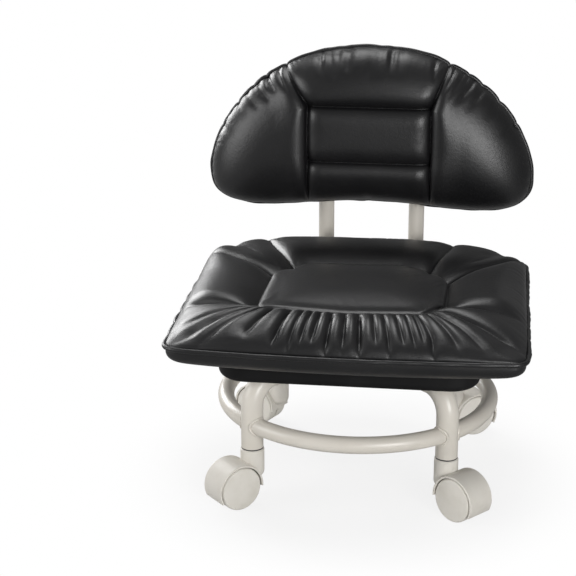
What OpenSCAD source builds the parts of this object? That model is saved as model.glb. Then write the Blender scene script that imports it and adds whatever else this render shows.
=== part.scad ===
// Low rolling stool: a tube frame on four hooded twin-wheel casters, a pillow seat with a
// sunk middle panel, and a winged backrest pillow on two bent posts.
// The sitter faces -Y, +X is to the right seen from the front, and the floor is z = 0.

/* [Frame] */
// Distance that the frame's middle lies behind the origin
frame_shift = 11; // [0:1:20]
// Distance from the frame's middle to the axis of each leg
leg_reach = 154; // [140:1:170]
// Height of the legs' lower ends above the floor
leg_foot_h = 66; // [62:1:76]
// Height of the top of the arms above the floor
frame_h = 157; // [150:1:180]
// Outside diameter of the leg tube
leg_d = 25; // [22:0.5:30]
// Wall of the leg tube
leg_wall = 1.5; // [1.2:0.1:2]
// Bend radius of the leg tube at its centreline
leg_bend_r = 30; // [26:1:40]
// Outside diameter of the brace ring's tube
brace_d = 19; // [14:0.5:21]
// Wall of the brace ring's tube
brace_wall = 1.2; // [1:0.1:2]
// Height of the brace ring's centreline above the floor
brace_h = 93; // [86:1:104]
// Outside diameter of the hub that the arms meet
hub_d = 50; // [40:1:60]
// Wall of the hub
hub_wall = 2.5; // [2:0.25:4]
// Length of the hub
hub_len = 30; // [26:1:40]
// Side of the square seat plate
plate_side = 150; // [140:1:160]
// Thickness of the seat plate
plate_t = 3; // [2:0.5:5]
// Corner radius of the seat plate
plate_corner = 14; // [6:1:24]
// Diameter of the circle of the seat bolts
seat_bolt_pcd = 120; // [110:1:126]

/* [Casters] */
// Diameter of each wheel
wheel_d = 50; // [46:0.5:53]
// Width of each wheel at its rim
wheel_w = 15.6; // [13:0.2:18]
// Height of the dome on each wheel's outer face
wheel_dome = 2; // [1:0.25:3]
// Rounding of the wheel's outer edge
wheel_edge_r = 3; // [1.5:0.25:4]
// Wall of the wheel's rim and face
wheel_wall = 3; // [2:0.25:4]
// Diameter of the wheel's hub
wheel_hub_d = 13; // [10:0.5:16]
// Number of ribs inside each wheel
wheel_ribs = 6; // [3:1:8]
// Distance from the stem's axis back to the axle
trail_len = 25; // [22:0.5:27]
// Thickness of the web between the two wheels
web_t = 4; // [3:0.25:6]
// Radius of the web round the axle
web_r = 20; // [14:0.5:22]
// Wall of the hood over the wheels
hood_wall = 2.4; // [1.6:0.1:3]
// Gap between the hood and the tread
hood_gap = 1; // [0.8:0.1:2]
// Angle that the hood reaches below the axle at the tail
hood_tail = 27; // [10:1:35]
// Angle that the hood reaches below the axle at the stem's side
hood_nose = 3; // [0:1:10]
// Diameter of the housing's neck
neck_d = 27; // [25:0.5:29]
// Height of the neck's lower end above the floor
neck_low = 29; // [24:1:34]
// Rounding of the neck's lower end
neck_round = 9; // [4:0.5:12]
// Diameter of the axle
axle_d = 5; // [4:0.25:6]
// Diameter of the stem in the housing
stem_low_d = 10; // [8:0.5:11]
// Length of the stem below its collar
stem_low_len = 17; // [14:0.5:18]
// Diameter of the stem's collar
collar_d = 17; // [14:0.5:20]
// Thickness of the stem's collar
collar_t = 1.6; // [1.2:0.1:2.5]
// Diameter of the stem in the leg
stem_top_d = 11; // [9:0.5:12]
// Length of the stem above its collar
stem_top_len = 24; // [20:0.5:30]
// Length of the plastic socket inside the leg
socket_len = 30; // [28:0.5:36]
// Thickness of the socket's flange below the leg
socket_flange = 1.2; // [1:0.1:2]
// Direction in which the front left caster trails, from +X
turn_fl = 221; // [0:1:359]
// Direction in which the front right caster trails, from +X
turn_fr = 320; // [0:1:359]
// Direction in which the rear left caster trails, from +X
turn_rl = 155; // [0:1:359]
// Direction in which the rear right caster trails, from +X
turn_rr = 30; // [0:1:359]

/* [Seat] */
// Width of the wrapped seat base
base_w = 286; // [250:1:300]
// Depth of the wrapped seat base
base_d = 294; // [290:1:304]
// Height of the wrapped seat base
base_t = 21; // [18:0.5:26]
// Corner radius of the seat base seen from above
base_corner = 34; // [20:1:50]
// Rounding of the seat base's lower edge
base_edge_r = 8; // [5:0.5:10]
// Thickness of the seat base's wrap
wrap_t = 4; // [3:0.25:5]
// Half the width of the seat cushion at its seam
seat_half_w = 193; // [180:1:205]
// Distance from the origin to the front corners of the cushion's seam
seat_front = 186; // [176:1:190]
// Distance from the origin to the cushion's rear seam
seat_rear = 157; // [150:1:160]
// Corner radius of the cushion's seam
seat_corner = 18; // [10:1:40]
// Bow of the cushion's front seam beyond its corners
seat_bow = 6.5; // [0:0.5:10]
// Height of the seat cushion's piped seam above the base
seat_seam_h = 30; // [24:1:36]
// Height of the cushion's crest above the piped seam
seat_crest_h = 38; // [28:1:46]
// Half the width of the sunk middle panel
panel_half_w = 104; // [90:1:116]
// Distance from the origin to the panel's front seam
panel_front = 138; // [120:1:146]
// Distance from the origin to the panel's rear seam
panel_rear = 48; // [40:1:60]
// Depth of the seam round the panel below the crest
panel_seam_depth = 13; // [8:0.5:18]
// Depth of the six radial seams
lobe_seam_depth = 9; // [5:0.5:14]
// Radius of the piping on both cushions
piping_r = 2.8; // [2:0.1:4]

/* [Backrest] */
// Outside diameter of the backrest posts
post_d = 19; // [16:0.5:21]
// Wall of the backrest posts
post_wall = 1.5; // [1.2:0.1:2]
// Distance of each post from the middle
post_x = 55.5; // [50:0.5:62]
// Distance from the origin to the posts' upright centrelines
post_y = 179; // [176:0.5:186]
// Bend radius of the posts at their centreline
post_bend_r = 38; // [34:1:44]
// Distance from the origin to the front end of the posts' feet
foot_y = 103; // [101:0.5:104]
// Height of the upper ends of the posts
post_top = 440; // [430:1:452]
// Distance from a foot's front end to its first bolt
foot_bolt_in = 11; // [11:0.5:12]
// Distance between the two bolts of a foot
foot_bolt_gap = 19; // [18.5:0.5:20]
// Half the width of the backrest
back_half_w = 193; // [180:1:205]
// Height of the backrest's wing tips
back_tip_z = 326; // [316:1:336]
// Rise of the backrest's top above its wing tips
back_rise = 150; // [135:1:160]
// Drop of the backrest's lower edge below its wing tips
back_drop = 45; // [38:1:52]
// Rise of the middle of the lower edge
back_arch = 9; // [4:1:14]
// Thickness of the backrest cushion in front of its piping
back_puff = 45; // [34:1:54]
// Thickness of the backrest cushion behind its piping
back_boxing = 19; // [17:1:26]
// Thickness of the backrest board
back_board_t = 9; // [7:0.5:10]
// Margin from the backrest's outline to the edge of its board
back_margin = 16; // [12:1:24]
// Thickness of the cover over the backrest board
back_cover_t = 1.6; // [1:0.1:2.5]
// Distance of the backrest's upright seams from the middle
back_seam_x = 73; // [62:1:84]
// Height of the lower bolts of the backrest
back_bolt_z = 322; // [312:1:330]
// Distance between the lower and upper bolts of the backrest
back_bolt_gap = 90; // [70:1:100]

/* [Fasteners] */
// Diameter of all bolts
bolt_d = 6; // [5:0.5:6.5]
// Diameter of the bolt heads
bolt_head_d = 12; // [10:0.5:13]
// Height of the bolt heads
bolt_head_h = 3.4; // [2.5:0.1:4]
// Diameter of the tee nuts' flanges
tee_flange_d = 17; // [15:0.5:18]
// Thickness of the tee nuts' flanges
tee_flange_t = 1.4; // [1:0.1:2]
// Outside diameter of the tee nuts' barrels
tee_barrel_d = 8; // [7.5:0.25:9]
// Length of the tee nuts' barrels
tee_barrel_len = 6; // [4:0.5:6.5]

/* [Clearances] */
// Radial clearance of a turning fit
run_fit = 0.08; // [0.05:0.01:0.1]
// Radial clearance of a fixed fit
fixed_fit = 0.05; // [0.02:0.01:0.1]
// Radial clearance of a bolt in its hole
bolt_fit = 0.3; // [0.2:0.05:0.5]
// Gap between a soft part and its seat
soft_gap = 0.3; // [0.2:0.05:0.5]
// Gap between parts that turn past each other
side_gap = 0.4; // [0.3:0.05:0.8]

/* [Hidden] */

$fn = 64;
// Overrun of every cut past the face that it leaves
over = 1;
cream = "#ddd8cc";
leather = "#1b1b1d";
steel = "#b9bcc0";
zinc = "#c9c4b4";
plastic = "#202022";
plywood = "#c9a878";

// Corner angles and caster directions, in the order front left, front right, rear left, rear right
FL = 0;
FR = 1;
RL = 2;
RR = 3;
corner_angles = [225, 315, 135, 45];
caster_turns = [turn_fl, turn_fr, turn_rl, turn_rr];

// Frame heights
arm_z = frame_h - leg_d / 2;
leg_bend_z = arm_z - leg_bend_r;
base_z = frame_h + plate_t;
base_top = base_z + base_t;

// Caster heights and radii
wheel_r = wheel_d / 2;
hood_in_r = wheel_r + hood_gap;
hood_r = hood_in_r + hood_wall;
wheel_in = web_t / 2 + side_gap;
hood_half_w = wheel_in + wheel_w;
hood_edge_r = hood_wall / 2;
socket_z = leg_foot_h - socket_flange;
collar_z = socket_z - collar_t;
neck_top = socket_z - side_gap;
stem_low_z = collar_z - stem_low_len;
axle_half_len = wheel_in + wheel_w - wheel_wall - side_gap;
axle_groove_d = axle_d * 0.8;
axle_groove_w = axle_d * 0.4;
axle_groove_y = axle_half_len - 2 * axle_groove_w;
stem_groove_d = stem_low_d * 0.86;
stem_groove_w = stem_low_d * 0.26;
stem_groove_z = stem_low_z + 1.4 * stem_groove_w;
grip_w = stem_top_d * 0.3;
grip_depth = stem_top_d * 0.1;
grip_z = socket_z + stem_top_len - 2 * grip_w;
edge_chamfer = stem_low_d * 0.08;
leg_in_d = leg_d - 2 * leg_wall;
socket_rib = leg_wall / 2;

// Seat
board_t = base_t - wrap_t;
board_z = base_z + wrap_t;
seat_low = base_top + soft_gap;
seam_z = base_top + seat_seam_h;
crest_z = seam_z + seat_crest_h;
seat_mid_y = (seat_rear - seat_front) / 2;
panel_mid_y = (panel_rear - panel_front) / 2;

// Backrest
back_y = post_y - post_d / 2;
back_seam_y = back_y - back_boxing;
foot_z = base_z - post_d / 2;
foot_len = post_y - post_bend_r - foot_y;
post_in_d = post_d - 2 * post_wall;
foot_bolts_y = [foot_y + foot_bolt_in, foot_y + foot_bolt_in + foot_bolt_gap];
back_bolts_z = [back_bolt_z, back_bolt_z + back_bolt_gap];
pocket_gap = soft_gap;
// Dome and plug length of the posts' caps
cap_t = 3;
cap_plug_len = 7;

// Points of an arc from angle a0 to a1 round [x, y]
function arc(x, y, r, a0, a1, n) = [for (i = [0:n]) let (a = a0 + (a1 - a0) * i / n)
    [x + r * cos(a), y + r * sin(a)]];

// Outline of a rectangle with rounded corners
function round_rect(w, d, r, n = 6) = concat(
    arc(w / 2 - r, d / 2 - r, r, 0, 90, n), arc(r - w / 2, d / 2 - r, r, 90, 180, n),
    arc(r - w / 2, r - d / 2, r, 180, 270, n), arc(w / 2 - r, r - d / 2, r, 270, 360, n));

// Triangles of a skin of stacked rings of n points, each ring anticlockwise seen from the last one
function skin(rings, n) = [for (j = [0:rings - 2], i = [0:n - 1])
    let (a = j * n + i, b = j * n + (i + 1) % n, c = b + n, d = a + n)
    each [[a, c, b], [a, d, c]]];

function smooth(t) = let (s = min(1, max(0, t))) s * s * (3 - 2 * s);
function bell(t) = exp(-t * t);
function angle_gap(a, b) = let (d = abs(a - b) % 360) min(d, 360 - d);

module at_frame() {
    translate([0, frame_shift, 0]) children();
}

module at_corner(c) {
    at_frame() rotate(corner_angles[c]) translate([leg_reach, 0, 0]) rotate(-corner_angles[c]) children();
}

// The caster's own frame: the stem on the Z axis and the tail along +X
module at_caster(c) {
    at_corner(c) rotate(caster_turns[c]) children();
}

module at_axle() {
    translate([trail_len, 0, wheel_r]) rotate([90, 0, 0]) children();
}

// Tube path of a leg with its foot on the X axis at leg_reach
module leg_path(d, extra) {
    translate([leg_reach, 0, leg_foot_h - extra]) cylinder(d = d, h = leg_bend_z - leg_foot_h + extra);
    translate([leg_reach - leg_bend_r, 0, leg_bend_z]) rotate([90, 0, 0])
        rotate_extrude(angle = 90) translate([leg_bend_r, 0]) circle(d = d);
    translate([0, 0, arm_z]) rotate([0, 90, 0]) cylinder(d = d, h = leg_reach - leg_bend_r);
}

module leg(c) {
    color(cream) at_frame() rotate(corner_angles[c]) difference() {
        leg_path(leg_d, 0);
        leg_path(leg_in_d, over);
        translate([0, 0, frame_h - leg_d - over]) cylinder(d = hub_d, h = leg_d + 2 * over);
    }
}

module hub_tube() {
    color(cream) at_frame() translate([0, 0, frame_h - hub_len]) difference() {
        cylinder(d = hub_d, h = hub_len);
        translate([0, 0, -over]) cylinder(d = hub_d - 2 * hub_wall, h = hub_len + 2 * over);
    }
}

// Quarter of the brace ring, starting at the leg on angle a and coped to the legs at both ends
module brace(a) {
    color(cream) at_frame() rotate(a) difference() {
        translate([0, 0, brace_h]) rotate_extrude(angle = 90) translate([leg_reach, 0]) circle(d = brace_d);
        translate([0, 0, brace_h]) rotate([0, 0, -over]) rotate_extrude(angle = 90 + 2 * over)
            translate([leg_reach, 0]) circle(d = brace_d - 2 * brace_wall);
        for (b = [0, 90]) rotate(b) translate([leg_reach, 0, brace_h - brace_d])
            cylinder(d = leg_d, h = 2 * brace_d);
    }
}

module at_seat_bolts() {
    at_frame() for (a = [0:90:270]) rotate(a) translate([seat_bolt_pcd / 2, 0, 0]) children();
}

module at_foot_bolts() {
    for (x = [-post_x, post_x], y = foot_bolts_y) translate([x, y, 0]) children();
}

module at_back_bolts() {
    for (x = [-post_x, post_x], z = back_bolts_z) translate([x, back_y, z]) rotate([90, 0, 0]) children();
}

// Clearance hole for a bolt through a wall that starts one overrun above z = 0
module bolt_hole(wall) {
    cylinder(d = bolt_d + 2 * bolt_fit, h = wall + 2 * over);
}

module seat_plate() {
    color(cream) difference() {
        at_frame() translate([0, 0, frame_h]) linear_extrude(plate_t)
            polygon(round_rect(plate_side, plate_side, plate_corner));
        at_seat_bolts() translate([0, 0, frame_h - over]) bolt_hole(plate_t);
    }
}

// Pan head bolt that points up from the underside of its head, with a hexagon socket
module bolt(len) {
    socket_d = bolt_head_d / 2;
    difference() {
        union() {
            cylinder(d = bolt_d, h = len);
            rotate_extrude() polygon(concat([[0, 0], [bolt_head_d / 2, 0]],
                arc(0, 0, bolt_head_d / 2, 0, -90, 6) * [[1, 0], [0, bolt_head_h * 2 / bolt_head_d]]));
        }
        translate([0, 0, -bolt_head_h - over]) cylinder(d = socket_d, h = bolt_head_h * 0.6 + over, $fn = 6);
    }
}

// Tee nut with the top of its flange at z = 0 and its barrel pointing down
module tee_nut() {
    rotate([180, 0, 0]) difference() {
        union() {
            cylinder(d = tee_flange_d, h = tee_flange_t);
            cylinder(d = tee_barrel_d, h = tee_flange_t + tee_barrel_len);
        }
        translate([0, 0, -over])
            cylinder(d = bolt_d + 2 * fixed_fit, h = tee_flange_t + tee_barrel_len + 2 * over);
    }
}

// Room for a tee nut let in flush below z = 0 of a board, and for its bolt
module tee_nut_room(board) {
    translate([0, 0, -tee_flange_t]) cylinder(d = tee_flange_d + 2 * fixed_fit, h = tee_flange_t + over);
    translate([0, 0, -tee_flange_t - tee_barrel_len - fixed_fit])
        cylinder(d = tee_barrel_d + 2 * fixed_fit, h = tee_flange_t + tee_barrel_len);
    translate([0, 0, -board - over]) bolt_hole(board - 2 * over);
}

module seat_bolts() {
    color(zinc) at_seat_bolts() translate([0, 0, frame_h]) bolt(base_top - frame_h - tee_flange_t);
}

module foot_bolts() {
    color(zinc) at_foot_bolts() translate([0, 0, base_z - post_d]) bolt(base_t + post_d - tee_flange_t);
}

module back_bolts() {
    color(zinc) at_back_bolts() translate([0, 0, -post_d])
        bolt(post_d + back_cover_t + back_board_t - tee_flange_t);
}

module seat_tee_nuts() {
    color(zinc) at_seat_bolts() translate([0, 0, base_top]) tee_nut();
}

module foot_tee_nuts() {
    color(zinc) at_foot_bolts() translate([0, 0, base_top]) tee_nut();
}

module back_tee_nuts() {
    color(zinc) at_back_bolts() translate([0, 0, back_cover_t + back_board_t]) tee_nut();
}

// Profile of the seat base's side, from its corner's axis outwards
function base_profile() = concat([[0, 0]],
    arc(base_corner - base_edge_r, base_edge_r, base_edge_r, -90, 0, 6),
    [[base_corner, base_t], [0, base_t]]);

module base_body() {
    straight_w = base_w - 2 * base_corner;
    straight_d = base_d - 2 * base_corner;
    translate([-straight_w / 2, -straight_d / 2, 0]) cube([straight_w, straight_d, base_t]);
    for (c = [[1, 1, 0], [-1, 1, 90], [-1, -1, 180], [1, -1, 270]])
        translate([c[0] * straight_w / 2, c[1] * straight_d / 2, 0]) rotate(c[2])
            rotate_extrude(angle = 90) polygon(base_profile());
    for (s = [0, 180]) rotate(s) {
        translate([straight_w / 2, straight_d / 2, 0]) rotate([90, 0, 0]) linear_extrude(straight_d)
            polygon(base_profile());
        translate([-straight_w / 2, straight_d / 2, 0]) rotate([90, 0, 90]) linear_extrude(straight_w)
            polygon(base_profile());
    }
}

module board_outline(gap) {
    polygon(round_rect(base_w - 2 * (wrap_t + gap), base_d - 2 * (wrap_t + gap), base_corner - wrap_t - gap));
}

module seat_base_wrap() {
    color(leather) difference() {
        translate([0, 0, base_z]) base_body();
        translate([0, 0, board_z]) linear_extrude(board_t + over) board_outline(0);
        at_seat_bolts() translate([0, 0, base_z - over]) bolt_hole(wrap_t);
        at_foot_bolts() translate([0, 0, base_z - over]) bolt_hole(wrap_t);
    }
}

module seat_board() {
    color(plywood) difference() {
        translate([0, 0, board_z]) linear_extrude(board_t) board_outline(fixed_fit);
        at_seat_bolts() translate([0, 0, base_top]) tee_nut_room(board_t);
        at_foot_bolts() translate([0, 0, base_top]) tee_nut_room(board_t);
    }
}

// Seat cushion. Each ring holds one point for each point of the piped seam's outline.
// Points inside each side of the outline, and steps of each corner's arc
seat_side_points = 9;
seat_corner_steps = 4;
// Sharpness of the panel's outline
panel_power = 4.5;
// Depth of the roll at the cushion's lower edge
seat_roll = 26;
// Directions of the six radial seams, seen from the outline's middle
lobe_seams = [24, 54, 128, 158, 219, 322];
// Spread of a radial seam, in degrees
lobe_seam_spread = 5;
// Underside from the middle outwards: inset by the roll, rise by the seam's height
seat_under_shares = [[3, 0], [1.3, 0.01], [0.72, 0.1], [0.36, 0.29], [0.14, 0.53], [0.1, 0.72], [0.25, 0.86]];
// Lobes from the piping towards the panel's seam: way to that seam, and rise by the crest's
// height at the sides and at the front
seat_lobe_shares = [[0.04, 0.24, 0.22], [0.09, 0.46, 0.4], [0.17, 0.68, 0.56], [0.28, 0.87, 0.7],
    [0.42, 0.97, 0.82], [0.6, 1, 0.92], [0.8, 0.93, 0.98], [0.93, 0.79, 0.97]];
// Low ears at the four corners: longest share of the way that they take up, and how fast they end
ear_share = 0.3;
ear_power = 13;
// Share of its depth that the panel's seam lies higher at the front
front_seam_share = 0.5;
// Panel from its seam inwards: way to its middle, and rise from its seam to the crest's height
panel_shares = [[0, 0], [0.08, 0.35], [0.3, 0.7], [0.65, 0.88], [1, 0.92]];

// Sides of a rounded rectangle: n points evenly spaced between p and q
function between(p, q, n) = [for (i = [1:n]) p + (q - p) * i / (n + 1)];

// The piped seam's outline, anticlockwise from the middle of the right side's lower end
seat_outline =
    let (x = seat_half_w - seat_corner, y0 = seat_corner - seat_front, y1 = seat_rear - seat_corner,
        r = seat_corner, n = seat_side_points, m = seat_corner_steps)
    concat(
        between([x + r, y0], [x + r, y1], n), arc(x, y1, r, 0, 90, m),
        between([x, y1 + r], [-x, y1 + r], n), arc(-x, y1, r, 90, 180, m),
        between([-x - r, y1], [-x - r, y0], n), arc(-x, y0, r, 180, 270, m),
        between([-x, y0 - r], [x, y0 - r], n), arc(x, y0, r, 270, 360, m));
seat_sides = len(seat_outline);
// The front side bows outwards
function bowed(p) = let (front = max(0, seat_mid_y - p[1]) / (seat_mid_y + seat_front))
    [p[0], p[1] - seat_bow * front * (1 - pow(p[0] / seat_half_w, 2))];
seat_seam = [for (p = seat_outline) bowed(p)];
seat_angles = [for (p = seat_seam) atan2(p[1] - seat_mid_y, p[0])];

function panel_edge(a) =
    let (n = panel_power, u = abs(cos(a)) / panel_half_w, v = 2 * abs(sin(a)) / (panel_front + panel_rear))
    [0, panel_mid_y] + pow(pow(u, n) + pow(v, n), -1 / n) * [cos(a), sin(a)];

function lobe_seam(a) = max([for (s = lobe_seams) bell(angle_gap(a, s) / lobe_seam_spread)]);

// Share of the front lobe's shape in direction a
function front_share(a) = smooth((-sin(a) - 0.5) * 4);

// Share of the way to the panel's seam that the corner's ear takes up at an outline point
function ear(p) = ear_share
    * pow(abs(p[0] * (p[1] - seat_mid_y)) / (seat_half_w * (seat_mid_y + seat_front)), ear_power);

// Ring of the seam's outline drawn in by an inset at height z
function seat_ring(inset, z) = [for (p = seat_seam)
    let (k = 1 - inset / seat_half_w) [k * p[0], seat_mid_y + k * (p[1] - seat_mid_y), z]];

function panel_seam_z(a) = crest_z - panel_seam_depth * (1 - front_seam_share * front_share(a));
seat_rings = concat(
    [for (s = seat_under_shares) seat_ring(s[0] * seat_roll, seat_low + s[1] * (seam_z - seat_low))],
    [for (t = [-1, 0, 1]) seat_ring(abs(t) * 0.6 * piping_r - piping_r, seam_z + t * piping_r * 0.9)],
    [for (s = seat_lobe_shares) [for (i = [0:seat_sides - 1])
        let (a = seat_angles[i], way = s[0] + ear(seat_seam[i]) * (1 - s[0]),
            p = seat_seam[i] * (1 - way) + panel_edge(a) * way,
            rise = s[1] + (s[2] - s[1]) * front_share(a))
        [p[0], p[1], seam_z + rise * seat_crest_h - lobe_seam(a) * lobe_seam_depth * s[1]]]],
    [for (k = [0:len(panel_shares) - 2]) [for (a = seat_angles)
        let (s = panel_shares[k], p = panel_edge(a) * (1 - s[0]) + [0, panel_mid_y] * s[0])
        [p[0], p[1], panel_seam_z(a) * (1 - s[1]) + crest_z * s[1]]]]);

module seat_cushion() {
    panel_dip = (1 - panel_shares[len(panel_shares) - 1][1]) * panel_seam_depth;
    rings = len(seat_rings);
    low = rings * seat_sides;
    top = low + 1;
    last = low - seat_sides;
    color(leather) polyhedron(
        points = concat([for (r = seat_rings) each r],
            [[0, seat_mid_y, seat_low], [0, panel_mid_y, crest_z - panel_dip]]),
        faces = concat(skin(rings, seat_sides),
            [for (i = [0:seat_sides - 1]) [low, i, (i + 1) % seat_sides]],
            [for (i = [0:seat_sides - 1]) [top, last + (i + 1) % seat_sides, last + i]]));
}

// Tube path of a post: the foot under the seat, the bend and the upright
module post_path(d, extra) {
    translate([0, foot_y - extra, foot_z]) rotate([-90, 0, 0]) cylinder(d = d, h = foot_len + extra);
    translate([0, foot_y + foot_len, foot_z + post_bend_r]) rotate([0, 90, 0])
        rotate_extrude(angle = 90) translate([post_bend_r, 0]) circle(d = d);
    translate([0, post_y, foot_z + post_bend_r]) cylinder(d = d, h = post_top - foot_z - post_bend_r + extra);
}

module post(x) {
    color(cream) difference() {
        translate([x, 0, 0]) difference() {
            post_path(post_d, 0);
            post_path(post_in_d, over);
        }
        at_foot_bolts() translate([0, 0, base_z - post_d - over]) bolt_hole(post_d);
        at_back_bolts() translate([0, 0, -post_d - over]) bolt_hole(post_d);
    }
}

// Domed plug that closes a post's end at z = 0 and points into it
module post_cap() {
    translate([0, 0, -cap_plug_len]) cylinder(d = post_in_d - 2 * fixed_fit, h = cap_plug_len);
    rotate_extrude() polygon(concat([[0, 0], [post_d / 2, 0]],
        arc(0, 0, post_d / 2, 0, 90, 6) * [[1, 0], [0, 2 * cap_t / post_d]]));
}

module post_top_caps() {
    color(plastic) for (x = [-post_x, post_x]) translate([x, post_y, post_top]) post_cap();
}

module post_foot_caps() {
    color(plastic) for (x = [-post_x, post_x]) translate([x, foot_y, foot_z]) rotate([90, 0, 0]) post_cap();
}

// Backrest outline, drawn in by a margin m: height of its upper and lower edge at a share u of
// the way from the middle to the tip, and the loop of its points
top_power = 2.15;
top_round = 0.58;
low_power = 8;
low_round = 0.364;
arch_share = 0.76;
function back_top(u, m = 0) = back_tip_z + (back_rise - m) * pow(1 - pow(abs(u), top_power), top_round);
function back_low(u, m = 0) = back_tip_z - (back_drop - m) * pow(1 - pow(abs(u), low_power), low_round)
    + back_arch * (1 + cos(180 * min(1, abs(u) / arch_share))) / 2;

// Columns from the middle to the tip as shares of the way to the tip, with one on each upright seam
seam_share = back_seam_x / back_half_w;
back_half_shares = concat([for (s = [0.3, 0.58, 0.8, 0.92]) s * seam_share], [seam_share],
    [for (s = [0.06, 0.14, 0.26, 0.4, 0.56, 0.72, 0.85, 0.93, 0.978]) seam_share + s * (1 - seam_share)]);
back_col_shares = concat(
    [for (i = [len(back_half_shares) - 1:-1:0]) -back_half_shares[i]], [0], back_half_shares);
// Rows from the lower to the upper edge as shares, with one on each level seam
level_seam_shares = [0.242, 0.618];
back_row_shares = concat([0, 0.06, 0.15, 0.205, level_seam_shares[0], 0.28, 0.37, 0.49, 0.58],
    [level_seam_shares[1], 0.656, 0.77, 0.9, 1]);
// Bow of the wing tips beyond the last column
tip_share = 1 - back_half_shares[len(back_half_shares) - 1];
nc = len(back_col_shares);
nr = len(back_row_shares);

function back_xz(u, v, m = 0) =
    let (x = (back_half_w - m) * (u + sign(u) * tip_share * pow(abs(u), 9) * (1 - pow(2 * v - 1, 2))),
        low = back_low(u, m), top = back_top(u, m),
        even = low + (top - low) * v,
        low0 = back_low(0, m), top0 = back_top(0, m),
        level = low0 + (top0 - low0) * v + pow(v, 3) * (top - top0) + pow(1 - v, 3) * (low - low0),
        k = smooth((abs(u) - seam_share) / (0.6 - seam_share)))
    [x, level * (1 - k) + even * k];

back_loop_uv = concat(
    [for (i = [0:nc - 1]) [i, 0]], [for (j = [1:nr - 1]) [nc - 1, j]],
    [for (i = [nc - 2:-1:0]) [i, nr - 1]], [for (j = [nr - 2:-1:1]) [0, j]]);
function back_loop(m) = [for (p = back_loop_uv) back_xz(back_col_shares[p[0]], back_row_shares[p[1]], m)];
back_edge = back_loop(0);
nl = len(back_edge);
back_normals = [for (k = [0:nl - 1]) let (d = back_edge[(k + 1) % nl] - back_edge[(k + nl - 1) % nl])
    [d[1], -d[0]] / norm(d)];

// Cover and board lie in a pocket of the cushion's rear
pocket_depth = back_board_t + back_cover_t + pocket_gap;
back_lip = back_margin * 0.5;
// Side rings from the pocket's floor round to the front: margin, step outwards along the edge's
// normals, and distance from the rear face
boxing_shares = [[0, 0.16], [0.12, 0.42], [-0.03, 0.8]];
back_side_rings = concat(
    [[back_margin, 0, pocket_depth], [back_margin, 0, 0], [back_lip, 0, 0]],
    [for (s = boxing_shares) [0, s[0] * back_boxing, s[1] * back_boxing]],
    [for (t = [-1, 0, 1]) [0, piping_r * (1 - 0.6 * abs(t)), back_boxing + 0.9 * t * piping_r]]);
function back_side_ring(r) = let (loop = back_loop(r[0])) [for (k = [0:nl - 1])
    let (p = loop[k] + r[1] * back_normals[k]) [p[0], back_y - soft_gap - r[2], p[1]]];
back_roll = back_puff * 0.85;
back_front_gap = 1.7 * piping_r;

function roll(e) = let (s = min(1, max(0, e))) sqrt(1 - (1 - s) * (1 - s));
// Thickness of the cushion's front at [x, z]: rolled edges, and channels along its four seams
function back_depth(u, v) =
    let (p = back_xz(u, v), x = abs(p[0]),
        rise = min(p[1] - back_low(u), back_top(u) - p[1]),
        side = back_half_w - x,
        edge = roll(rise / back_roll) * roll(side / back_roll),
        upright = bell((x - back_seam_x) / (0.09 * back_seam_x)),
        level = x < back_seam_x ? max([for (s = level_seam_shares) bell((v - s) / 0.035)]) : 0,
        middle = 1 - 0.12 * smooth((back_seam_x - x) / back_seam_x))
    back_front_gap + back_puff * edge * (middle - 0.3 * upright) * (1 - 0.2 * level);

module back_cushion() {
    ring_n = len(back_side_rings);
    grid0 = ring_n * nl;
    centre = grid0 + nc * nr;
    last = grid0 - nl;
    loop_index = [for (p = back_loop_uv) grid0 + p[1] * nc + p[0]];
    color(leather) polyhedron(
        points = concat(
            [for (r = back_side_rings) each back_side_ring(r)],
            [for (v = back_row_shares, u = back_col_shares)
                let (p = back_xz(u, v)) [p[0], back_seam_y - back_depth(u, v), p[1]]],
            [[0, back_y - soft_gap - pocket_depth, (back_low(0) + back_top(0)) / 2]]),
        faces = concat(skin(ring_n, nl),
            [for (k = [0:nl - 1]) let (n = (k + 1) % nl)
                each [[last + k, loop_index[n], last + n], [last + k, loop_index[k], loop_index[n]]]],
            [for (j = [0:nr - 2], i = [0:nc - 2])
                let (a = grid0 + j * nc + i, b = a + 1, c = b + nc, d = a + nc)
                each [[a, c, b], [a, d, c]]],
            [for (k = [0:nl - 1]) [centre, k, (k + 1) % nl]]));
}

// Flat sheet inside the backrest's pocket, from front distance y0 behind the pocket's mouth
module pocket_sheet(y0, t) {
    translate([0, back_y - y0, 0]) rotate([90, 0, 0]) linear_extrude(t)
        polygon(back_loop(back_margin + pocket_gap));
}

module back_cover() {
    color(leather) difference() {
        pocket_sheet(0, back_cover_t);
        at_back_bolts() translate([0, 0, -over]) bolt_hole(back_cover_t);
    }
}

module back_board() {
    color(plywood) difference() {
        pocket_sheet(back_cover_t, back_board_t);
        at_back_bolts() translate([0, 0, back_cover_t + back_board_t]) tee_nut_room(back_board_t);
    }
}

// Plastic socket pressed into the leg, with a flange under the tube and two ribs
module socket(c) {
    bore = stem_top_d + 2 * fixed_fit;
    body_d = leg_in_d - 2 * (fixed_fit + socket_rib);
    color(plastic) at_corner(c) difference() {
        union() {
            translate([0, 0, socket_z]) cylinder(d = leg_d, h = socket_flange);
            translate([0, 0, socket_z]) cylinder(d = body_d, h = socket_len);
            for (s = [0.2, 0.8]) translate([0, 0, socket_z + s * socket_len])
                cylinder(d = leg_in_d - 2 * fixed_fit, h = 2 * socket_rib);
        }
        translate([0, 0, socket_z - over]) cylinder(d = bore, h = socket_len + 2 * over);
    }
}

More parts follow.
